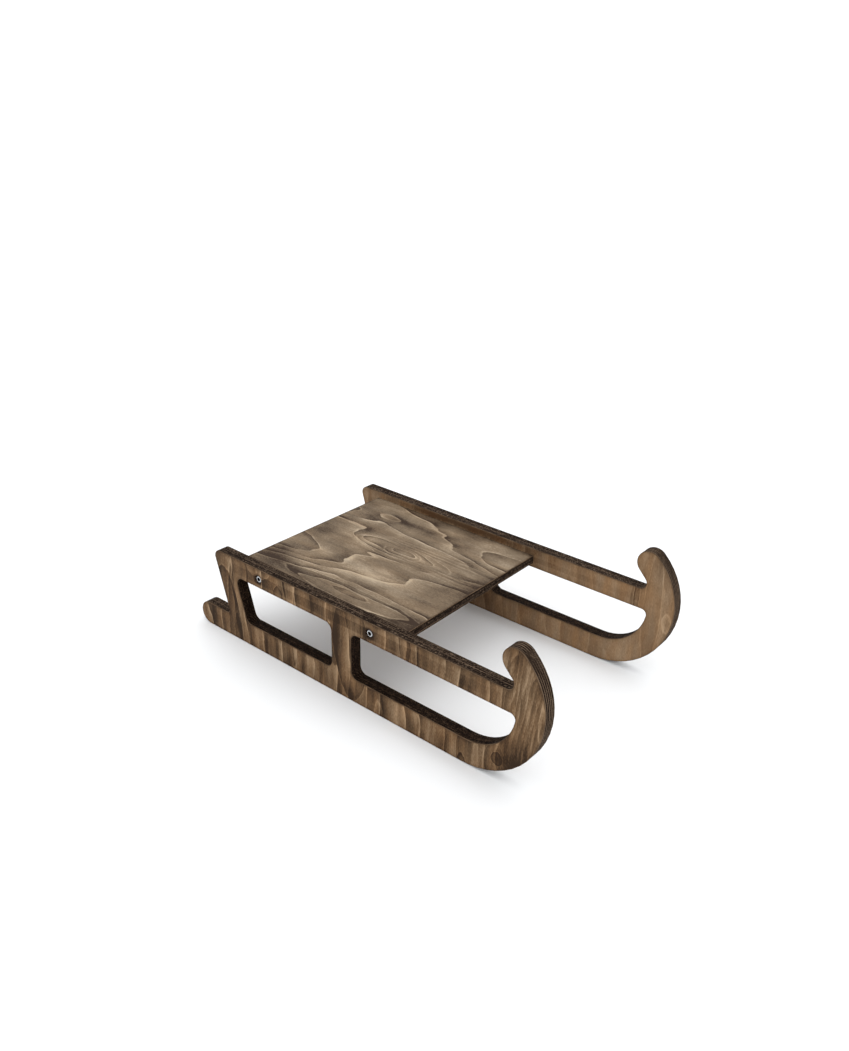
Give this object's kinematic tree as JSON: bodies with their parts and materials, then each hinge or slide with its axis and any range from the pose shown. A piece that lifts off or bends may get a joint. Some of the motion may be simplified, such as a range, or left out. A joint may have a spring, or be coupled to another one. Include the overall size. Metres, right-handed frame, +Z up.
{
  "type": "plywood sled",
  "caption": "Low wooden sled: plywood runner plates with windows and hooked bows, joined by a flat plywood seat panel and countersunk screws.",
  "frame": {"origin": "on the ground, at the middle of the length and of the width", "axes": "+X forward, from the tails towards the hooked bows; +Y to the left; +Z up"},
  "size_m": [0.57, 0.305, 0.18],
  "materials": {
    "runner_plywood": "dark brown stain on birch plywood, cut edges nearly black, matt",
    "seat_plywood": "dark brown stain on birch plywood, flame grain along the length, matt",
    "screw_zinc": "bright zinc plating"
  },
  "bodies": {
    "root": {"left_runner": "runner_plywood", "right_runner": "runner_plywood", "seat_panel": "seat_plywood", "left_rear_screw": "screw_zinc", "left_front_screw": "screw_zinc", "right_rear_screw": "screw_zinc", "right_front_screw": "screw_zinc"}
  },
  "joints": []
}
